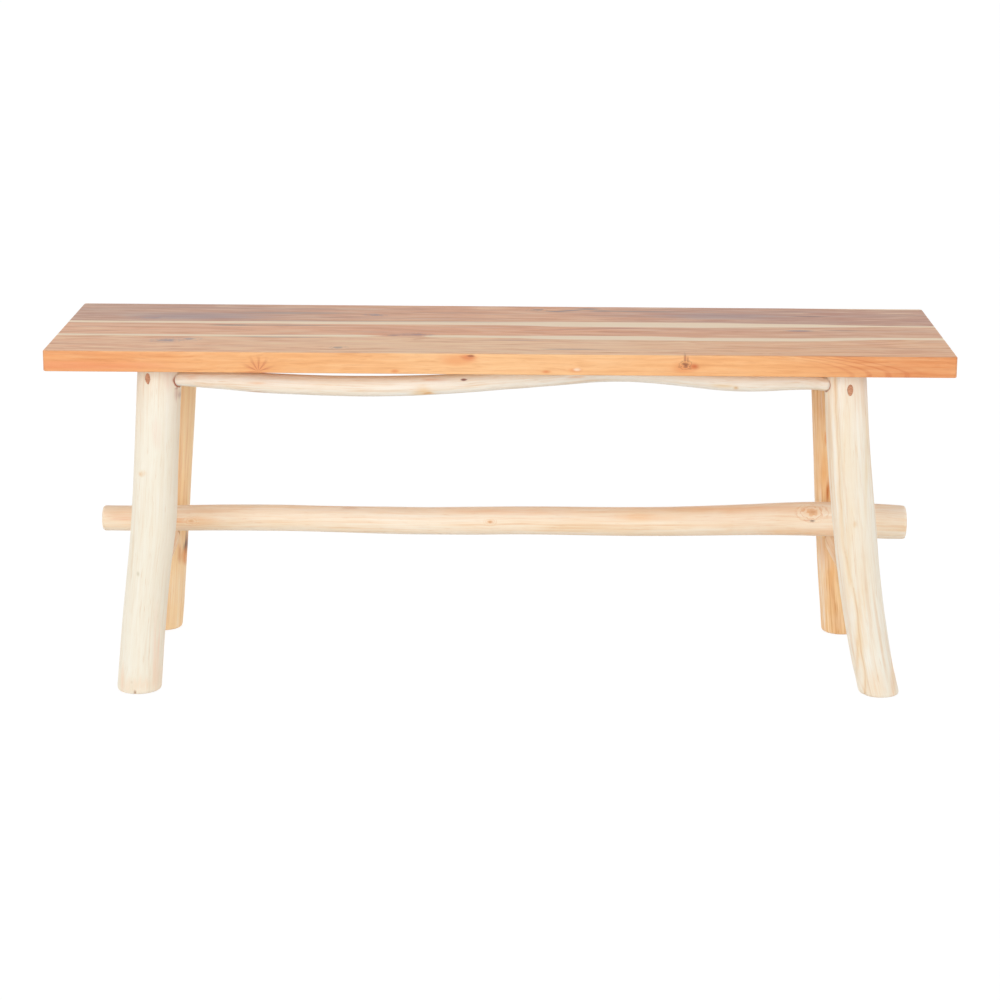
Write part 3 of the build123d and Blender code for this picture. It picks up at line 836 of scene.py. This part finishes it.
# ---- Seat rails ----
# A crooked branch under each long edge of the seat, planed flat where it meets the planks.
SEAT_RAIL_ROUGH = ((0.03, 4, 0.0012), (0.007, 9, 0.0005))
RAIL_MARKS = (
    ((-0.0474, -0.135, 0.4284), (0.0042, 0.02, 0.0018), (132, 76, 66), 1.0),
    ((-0.09, -0.135, 0.4287), (0.02, 0.02, 0.0022), (228, 178, 146), 0.6),
    ((-0.1005, -0.138, 0.4133), (0.022, 0.02, 0.008), (240, 198, 134), 0.9),
    ((-0.0945, -0.138, 0.4105), (0.008, 0.02, 0.003), (226, 164, 92), 0.8),
    ((0.314, -0.135, 0.4205), (0.006, 0.02, 0.0035), (222, 172, 104), 1.0),
    ((0.295, -0.135, 0.4225), (0.025, 0.02, 0.004), (236, 202, 150), 0.8),
    ((-0.322, -0.135, 0.4225), (0.02, 0.02, 0.003), (236, 188, 142), 0.7),
    ((-0.325, -0.138, 0.4095), (0.016, 0.02, 0.003), (210, 156, 116), 0.7),
    ((0.1, -0.135, 0.4315), (0.016, 0.02, 0.0025), (232, 170, 112), 0.9),
    ((-0.3915, -0.135, 0.4184), (0.02, 0.02, 0.005), (242, 208, 172), 0.6),
    ((-0.41, -0.135, 0.4284), (0.012, 0.02, 0.005), (242, 206, 176), 0.5),
)
RAIL_LOOKS = {
    "front": {
        "pale": (248, 243, 230), "warm": (242, 224, 198), "warmth": 0.45, "marks": RAIL_MARKS,
    },
    "rear": {**BRANCH_LOOK, "knots": (((0.12, 0.13, 0.42), 0.004, 0.7),)},
}
for number, (side, look) in enumerate(RAIL_LOOKS.items()):
    node = f"seat_rail_{side}"
    rings = rail_rings(node, X, TENON_GAPS, rests=-1)
    rail = grow_rough(node, X, rings, number + 21, SEAT_RAIL_ROUGH)
    saw_level(rail, SEAT_UNDERSIDE)
    draw_grain(rail, X, rings)
    dress(rail, peeled_wood(node, X, seed=30.0 + number, **look), "peeled_branch", node)


# ---- Long stretcher ----
# A long branch laid over both end rails and hollowed under to sit on them, with a ringed
# knot near its thick end and two smaller ones along it.
SADDLES = ((-0.505, -0.452), (0.456, 0.508))
SAWN_GAPS = (0.006, 0.02, 0.04)
STRETCHER_ROUND = 0.004
STRETCHER_ROUGH = ((0.05, 4, 0.0016), (0.009, 9, 0.0006))
STRETCHER_KNOTS = (
    ((0.4374, 0.0263, 0.209), 0.0085, 1.0),
    ((-0.0142, 0.0265, 0.1911), 0.0034, 0.9),
    ((-0.4354, 0.0265, 0.1885), 0.0045, 0.6),
)
STRETCHER_MARKS = (
    ((0.431, 0.0218, 0.1985), (0.009, 0.02, 0.002), (214, 140, 88), 0.7),
    ((0.4378, 0.0218, 0.1982), (0.0058, 0.02, 0.0028), (92, 40, 24), 1.0),
    ((-0.453, 0.027, 0.1895), (0.015, 0.02, 0.006), (236, 166, 98), 0.9),
    ((-0.425, 0.027, 0.1885), (0.04, 0.02, 0.01), (243, 194, 138), 0.7),
    ((-0.53, 0.027, 0.192), (0.03, 0.02, 0.006), (236, 184, 144), 0.6),
    ((-0.535, 0.027, 0.1905), (0.02, 0.02, 0.0018), (228, 158, 116), 0.5),
    ((-0.5, 0.027, 0.2), (0.09, 0.03, 0.007), (242, 194, 148), 0.5),
    ((-0.212, 0.042, 0.2105), (0.016, 0.03, 0.0055), (200, 130, 96), 0.9),
    ((0.2, 0.027, 0.2), (0.07, 0.02, 0.006), (247, 206, 160), 0.7),
    ((0.3, 0.03, 0.212), (0.16, 0.02, 0.006), (240, 188, 140), 0.7),
    ((0.34, 0.027, 0.195), (0.11, 0.03, 0.016), (240, 206, 170), 0.45),
    ((0.42, 0.027, 0.18), (0.09, 0.02, 0.009), (240, 190, 136), 0.7),
    ((0.0, 0.03, 0.205), (0.12, 0.02, 0.005), (244, 200, 156), 0.6),
)
STRETCHER_LOOK = {
    "pale": (252, 240, 219), "warm": (244, 211, 168), "warmth": 0.45, "streaky": 0.7,
    "knots": STRETCHER_KNOTS, "marks": STRETCHER_MARKS,
}

node = "long_stretcher"
low, high = (corner[X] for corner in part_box(node))
rings = rail_rings(node, X, SAWN_GAPS, rests=1, missing=SADDLES)
rings = sawn_end(rings, X, low, STRETCHER_ROUND)
rings = sawn_end(rings[::-1], X, high, STRETCHER_ROUND)
stretcher = grow_rough(node, X, rings, 31, STRETCHER_ROUGH, sawn_at=(low, high))
for rail in end_rails:
    cut(stretcher, rail, keep_tool=True)
draw_grain(stretcher, X, rings)
dress(stretcher, peeled_wood(node, X, seed=40.0, **STRETCHER_LOOK), "peeled_branch", node)


# ---- Seat ----
# Three planks glued edge to edge, with pale sapwood along both joints, sanded and oiled.
# The tops are painted with a grey sheen, most on the back plank, and the front edge is bright.
SEAT_FRONT, SEAT_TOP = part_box("seat_board_front")[0][1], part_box("seat_board_front")[1][2]
# Strips of sapwood: their middle and half width at some places along the seat.
SAPWOOD = (
    ((-0.55, 0.034, 0.007), (0.0, 0.0405, 0.0125), (0.1, 0.038, 0.019), (0.27, 0.038, 0.019),
     (0.38, 0.039, 0.014), (0.548, 0.039, 0.004)),
    ((-0.35, -0.0615, 0.0065), (-0.2, -0.0565, 0.0075), (-0.14, -0.0565, -0.002),
     (-0.115, -0.0565, -0.002), (-0.09, -0.0565, 0.0075), (-0.03, -0.0565, 0.0075),
     (0.11, -0.059, 0.014), (0.19, -0.059, 0.014), (0.27, -0.064, 0.011), (0.38, -0.064, 0.011),
     (0.548, -0.0505, 0.0075)),
    ((0.3, 0.174, -0.004), (0.548, 0.174, 0.007)),
)
SAP_TAPER, SAP_EDGE = 0.2, 0.0016
SAP_PALE, SAP_WARM = paint(253, 225, 189), paint(236, 194, 150)


def drawn(x, stops):
    """A number that runs smoothly through its stops along the seat."""
    value = stops[0][1]
    for (start, low), (end, high) in zip(stops, stops[1:]):
        value = x.rise(start, end, 0.0, high - low) + value
    return value


def toned(x, stops):
    """A colour that runs smoothly through its stops along the seat."""
    colour = paint(*stops[0][1])
    for (start, _), (end, tone) in zip(stops, stops[1:]):
        colour = x.rise(start, end).to(colour, paint(*tone))
    return colour


def sap_strips(x, y, z, drift):
    """1 in the strips of sapwood, which narrow downwards, and 0 in the heartwood."""
    sap = 0.0
    for stops in SAPWOOD:
        middle = drawn(x, [(at, place) for at, place, _ in stops])
        half = drawn(x, [(at, width) for at, _, width in stops])
        inside = half - (y + drift.sway(0.004) - middle).abs() - (SEAT_TOP - z) * SAP_TAPER
        sap = inside.rise(-SAP_EDGE, SAP_EDGE).over(sap)
    return sap


# The front edge has a tongue of growth rings at its right, and a knot like a flame.
TONGUE_TIP, TONGUE_BEND, TONGUE_LINES = (0.551, 0.446), 150.0, 2 * pi / 0.024
TONGUE_BROWN = paint(216, 126, 72)
FLAME_AT, FLAME_SIZE, FLAME_RAYS = (-0.3166, SEAT_FRONT, 0.446), (0.026, 1.0, 0.024), 11.0
FLAME_BROWN = paint(206, 118, 70)


def ring_tongue(x, z, level, wander, drift, streak):
    """How strongly the tongue of growth rings is drawn."""
    up = z - TONGUE_TIP[1]
    past_tip = (TONGUE_TIP[0] - x) - up * up * TONGUE_BEND + wander.sway(0.03)
    within = past_tip.rise(-0.004, 0.0) * past_tip.rise(0.05, 0.14, 1, 0) * (1 - level)
    rings = (past_tip * TONGUE_LINES + 1.2 + drift * 4.0).sin().rise(0.2, 1.0)
    return within * (rings + 0.1) * streak.rise(0.35, 0.6, 0.35, 0.65)


def flame_knot(wire, spot, x, z, drift):
    """How strongly the knot like a flame is drawn."""
    across, up = x - FLAME_AT[X], z - FLAME_AT[Z]
    ray = (wire.math("ARCTAN2", up, across) * FLAME_RAYS + drift * 7.0).sin().rise(-0.1, 0.9)
    return ((spot - FLAME_AT) / FLAME_SIZE).length().rise(0.15, 1.1, 0.8, 0) * ray


# Bands per metre, along the plank and across it both ways.
PLANK_WANDERS, PLANK_DRIFTS = (3.0, 12.0, 12.0), (11.0, 60.0, 60.0)
PLANK_STREAKS, PLANK_CLOUDS = (12.0, 170.0, 170.0), (5.0, 45.0, 45.0)
FINE_LINES, PORES = (22.0, 520.0, 520.0), (60.0, 1300.0, 1300.0)
# Cells per metre in its knots, and in the dust of its sawn ends.
PLANK_GRIT, SAW_DUST = (150.0, 260.0, 300.0), 900.0
YEAR_RINGS, END_RINGS = 900.0, 2.4
EDGE_CALM = 0.55             # how much softer the rings are on the edges than on top
BRIGHT_STREAK, DARK_STREAK = (0.98, 0.68, 0.38, 1), (0.88, 0.74, 0.62)
# The first colour is a painted grey sheen on the plank tops, the second the brown of sawn ends.
GREY_SHEEN, SAWN_BROWN = paint(156, 134, 134), paint(186, 120, 76)


def plank_lines(wire, spot, knots, heart, seed):
    """Bends a plank's lines round its knots. Gives the bent lines, how they wander and drift,
    and how far the tree's heart is."""
    bent = spot
    for middle, size, _, strength in knots:
        away = (spot - middle) / size
        distance = away.length()
        bent = bent - away * (0.0, size[Y] * strength, size[Z] * strength) / (
            distance * distance + 0.3)
    wander = bent.noise(PLANK_WANDERS, seed=seed)
    drift = bent.noise(PLANK_DRIFTS, seed=seed + 1)
    deep_y = bent.part("Y") - heart[0] + wander.sway(0.06) + drift.sway(0.012)
    deep_z = bent.part("Z") - heart[1] + wander.sway(0.04) + drift.sway(0.012)
    return bent, wander, drift, wire.math("SQRT", deep_y * deep_y + deep_z * deep_z)


def plank_wood(node, seed, top, edge, heart, grey, knots=(), stains=(), front=False):
    """Sawn heartwood. Its growth rings are laid round a heart given as depth and height.

    top and edge are its colours at some places along the seat, and grey is how strongly its top
    is painted with a grey sheen. knots and stains are middle, size, colour and strength.
    """
    made, wire, shader = blank(node + "_wood")
    spot = wire.where("Object")
    facing = wire.where("Normal")
    x, y, z = (spot.part(axis) for axis in "XYZ")
    level = facing.part("Z").rise(0.3, 0.8)
    bent, wander, drift, reach = plank_lines(wire, spot, knots, heart, seed)
    year = (reach * YEAR_RINGS + drift * 3.0).sin()
    line = bent + wander.sway(0.03) + drift.sway(0.008)
    streak = line.noise(PLANK_STREAKS, detail=4.0, roughness=0.6, seed=seed + 2)
    fine = line.noise(FINE_LINES, detail=3.0, roughness=0.6, seed=seed + 3)
    pore = line.noise(PORES, detail=1.0, seed=seed + 4)
    cloud = bent.noise(PLANK_CLOUDS, detail=3.0, seed=seed + 5)
    dust = spot.noise(SAW_DUST, seed=seed + 6)
    grit = spot.noise(PLANK_GRIT, detail=3.0, seed=seed + 7)

    colour = level.to(toned(x, edge), toned(x, top))
    calm = 1 - (1 - level) * EDGE_CALM
    light = (streak.rise(0.35, 0.55, 0.4, 0) + year.rise(-1.0, 0.0, 0.12, 0)) * calm
    colour = light.to(colour, BRIGHT_STREAK)
    dark = (year.rise(0.0, 1.0, 0, 0.25) + streak.rise(0.48, 0.7, 0, 0.45)) * calm
    dark = dark + fine.rise(0.45, 0.7, 0, 0.3) + pore.rise(0.6, 0.78, 0, 0.25)
    deep = [(at, [v * f for v, f in zip(tone, DARK_STREAK)]) for at, tone in edge]
    colour = dark.to(colour, toned(x, deep))
    if front:
        colour = ring_tongue(x, z, level, wander, drift, streak).to(colour, TONGUE_BROWN)
    # Painted grey sheen on the tops, in cloudy patches and streaks.
    grey_sheen = cloud.rise(0.4, 0.7, 0.35 * grey, grey) + streak.rise(0.5, 0.75, 0, grey * 0.5)
    colour = (level * grey_sheen).to(colour, GREY_SHEEN)
    sapwood = (fine.rise(0.45, 0.8, 0, 0.35) + streak.rise(0.5, 0.8, 0, 0.25)).to(
        SAP_PALE, SAP_WARM)
    colour = sap_strips(x, y, z, drift).to(colour, sapwood)

    for middle, size, tint, strength in stains:
        frayed = ((spot - middle) / size).length() + streak.sway(1.4) + fine.sway(0.8)
        colour = frayed.rise(0.2, 1.1, strength, 0).to(colour, paint(*tint))
    hollow = 0.0
    for middle, size, tint, strength in knots:
        far = ((spot - middle) / size).length() + grit.sway(1.3) + fine.sway(0.5)
        ring = (far * 9.0 + grit * 7.0).sin().rise(-0.2, 1.0)
        ringed = far.rise(0.7, 1.8, strength * 0.5, 0) * ring
        core = far.rise(0.2, 0.95, strength * 0.8, 0)
        colour = ringed.over(core).to(colour, paint(*tint))
        hollow = core * 0.5 + hollow
    if front:
        colour = flame_knot(wire, spot, x, z, drift).to(colour, FLAME_BROWN)
    sawn = facing.part("X").abs().rise(0.6, 0.9)
    arc = (reach * YEAR_RINGS * END_RINGS + drift * 3.0).sin().rise(-0.4, 1.0, 0.1, 0.6)
    colour = (sawn * (arc + dust.rise(0.4, 0.8, 0, 0.3))).to(colour, SAWN_BROWN)
    colour.feeds(shader, "Base Color")
    streak.rise(0.2, 0.8, 0.36, 0.48).feeds(shader, "Roughness")
    height = streak * 0.25 + fine * 0.3 - pore.rise(0.62, 0.8, 0, 0.5) - hollow
    height.bumps(shader, 0.3, 0.0008)
    return made


TOP_STAIN_DEPTH, EDGE_STAIN_DEPTH = 0.05, 0.03


def on_top(x, y, length, width, tint, strength):
    """A knot or a stain on a plank's top."""
    return (x, y, SEAT_TOP), (length, width, TOP_STAIN_DEPTH), tint, strength


def on_edge(x, z, length, height, tint, strength, depth=EDGE_STAIN_DEPTH):
    """A knot or a stain on the front edge."""
    return (x, SEAT_FRONT, z), (length, depth, height), tint, strength


BACK_KNOTS = (
    on_top(-0.1784, 0.0982, 0.013, 0.009, (120, 110, 130), 0.9),
    on_top(0.05, 0.147, 0.012, 0.009, (116, 94, 96), 0.9),
    on_top(-0.49, 0.066, 0.025, 0.014, (140, 122, 134), 0.5),
)
BACK_STAINS = (
    on_top(0.078, 0.137, 0.022, 0.006, (134, 108, 106), 0.9),
    on_top(0.098, 0.146, 0.022, 0.006, (134, 108, 106), 0.9),
    on_top(0.122, 0.157, 0.022, 0.007, (134, 108, 106), 0.9),
    on_top(0.14, 0.143, 0.02, 0.006, (142, 114, 108), 0.8),
    on_top(-0.42, 0.08, 0.12, 0.03, (152, 130, 136), 0.6),
    on_top(-0.3, 0.11, 0.12, 0.012, (140, 114, 112), 0.6),
    on_top(0.3, 0.11, 0.15, 0.03, (150, 122, 126), 0.6),
    on_top(0.435, 0.11, 0.03, 0.006, (140, 88, 70), 0.9),
    on_top(0.2, 0.14, 0.1, 0.008, (130, 104, 104), 0.6),
    on_top(-0.2, 0.05, 0.3, 0.006, (168, 126, 108), 0.5),
)
MIDDLE_KNOTS = (
    on_top(-0.112, -0.044, 0.016, 0.011, (144, 110, 112), 0.7),
    on_top(-0.145, -0.052, 0.012, 0.009, (150, 114, 110), 0.7),
)
MIDDLE_STAINS = (
    on_top(-0.3667, 0.0147, 0.045, 0.005, (116, 88, 80), 0.95),
    on_top(-0.29, 0.016, 0.08, 0.005, (160, 120, 106), 0.7),
    on_top(0.4099, 0.0012, 0.02, 0.005, (116, 104, 122), 0.95),
    on_top(0.47, 0.006, 0.035, 0.005, (176, 118, 92), 0.8),
    on_top(0.1, 0.0, 0.05, 0.005, (206, 124, 84), 0.7),
    on_top(0.16, 0.012, 0.06, 0.006, (186, 110, 88), 0.7),
    on_top(-0.12, -0.047, 0.045, 0.012, (184, 142, 130), 0.5),
)
FRONT_KNOTS = (
    on_top(-0.447, -0.098, 0.017, 0.014, (126, 116, 134), 0.85),
    on_top(-0.418, -0.088, 0.014, 0.012, (134, 124, 140), 0.7),
    on_top(-0.214, -0.141, 0.01, 0.009, (132, 104, 102), 0.85),
    on_edge(0.2448, 0.459, 0.0068, 0.005, (116, 54, 36), 1.0, depth=0.05),
)
FRONT_STAINS = (
    on_edge(0.2435, 0.467, 0.0022, 0.009, (176, 104, 70), 0.7),
    on_edge(0.247, 0.466, 0.0016, 0.006, (176, 104, 70), 0.6),
    on_edge(0.2555, 0.4575, 0.011, 0.006, (206, 106, 54), 1.0),
    on_edge(0.242, 0.4555, 0.02, 0.009, (230, 146, 86), 0.7),
    on_edge(-0.3166, 0.452, 0.018, 0.011, (232, 150, 96), 0.5),
    on_edge(-0.055, 0.463, 0.03, 0.009, (236, 156, 96), 0.7),
    on_edge(-0.04, 0.4665, 0.013, 0.005, (222, 130, 76), 0.8),
    on_edge(-0.037, 0.469, 0.0055, 0.0022, (176, 104, 66), 0.9),
    on_edge(0.0616, 0.4485, 0.008, 0.003, (226, 134, 74), 0.8),
    on_edge(-0.137, 0.4478, 0.008, 0.0035, (230, 142, 80), 0.8),
    on_edge(0.1, 0.4508, 0.012, 0.004, (232, 142, 84), 0.7),
    on_edge(0.102, 0.4515, 0.0065, 0.0032, (252, 226, 198), 0.8),
    on_edge(-0.56, 0.452, 0.14, 0.008, (236, 140, 90), 0.5),
    on_top(0.1, -0.14, 0.05, 0.006, (172, 134, 118), 0.7),
    on_top(0.02, -0.08, 0.06, 0.006, (196, 140, 120), 0.7),
    on_top(-0.3, -0.07, 0.09, 0.005, (148, 120, 116), 0.6),
)
PLANKS = {
    "seat_board_back": {
        "seed": 50.0, "heart": (0.13, 0.35), "grey": 0.3,
        "top": ((-0.5, (202, 142, 111)), (0.0, (243, 167, 110)), (0.45, (197, 128, 94))),
        "edge": ((-0.5, (228, 164, 112)), (0.45, (222, 154, 104))),
        "knots": BACK_KNOTS, "stains": BACK_STAINS,
    },
    "seat_board_middle": {
        "seed": 54.0, "heart": (-0.02, 0.62), "grey": 0.15,
        "top": ((-0.5, (249, 179, 128)), (0.0, (242, 161, 104)), (0.45, (231, 167, 119))),
        "edge": ((-0.5, (238, 170, 116)), (0.45, (232, 162, 110))),
        "knots": MIDDLE_KNOTS, "stains": MIDDLE_STAINS,
    },
    "seat_board_front": {
        "seed": 58.0, "heart": (-0.1, 0.3), "grey": 0.12, "front": True,
        "top": ((-0.5, (253, 190, 138)), (0.0, (254, 202, 151)), (0.45, (246, 180, 121))),
        "edge": ((-0.55, (238, 162, 100)), (-0.3, (244, 180, 118)), (0.0, (249, 195, 138)),
                 (0.35, (245, 180, 118)), (0.55, (233, 154, 94))),
        "knots": FRONT_KNOTS, "stains": FRONT_STAINS,
    },
}
for name, look in PLANKS.items():
    coat(NODES[name], plank_wood(name, **look))


# ---- Screws ----
# Zinc-plated countersunk wood screws, up through the legs and up through the end rails.
TURNED_LINES, ZINC_STAINS = (60.0, 60.0, 2600.0), 420.0
ZINC_BRIGHT, ZINC_DULL = paint(214, 210, 196), paint(176, 170, 152)


def zinc_plate():
    """Dull plated steel with faint turned lines and darker spots."""
    made, wire, shader = blank("zinc_plate")
    spot = wire.where("Object")
    turned = spot.noise(TURNED_LINES)
    stain = spot.noise(ZINC_STAINS, detail=3.0, seed=1.0)
    stain.rise(0.35, 0.75).to(ZINC_BRIGHT, ZINC_DULL).feeds(shader, "Base Color")
    turned.rise(0.3, 0.7, 0.28, 0.45).feeds(shader, "Roughness")
    shader.inputs["Metallic"].default_value = 1.0
    turned.bumps(shader, 0.2, 0.0002)
    return made


plate = zinc_plate()
for node in ("leg_screws", "stretcher_screws"):
    coat(NODES[node], plate)
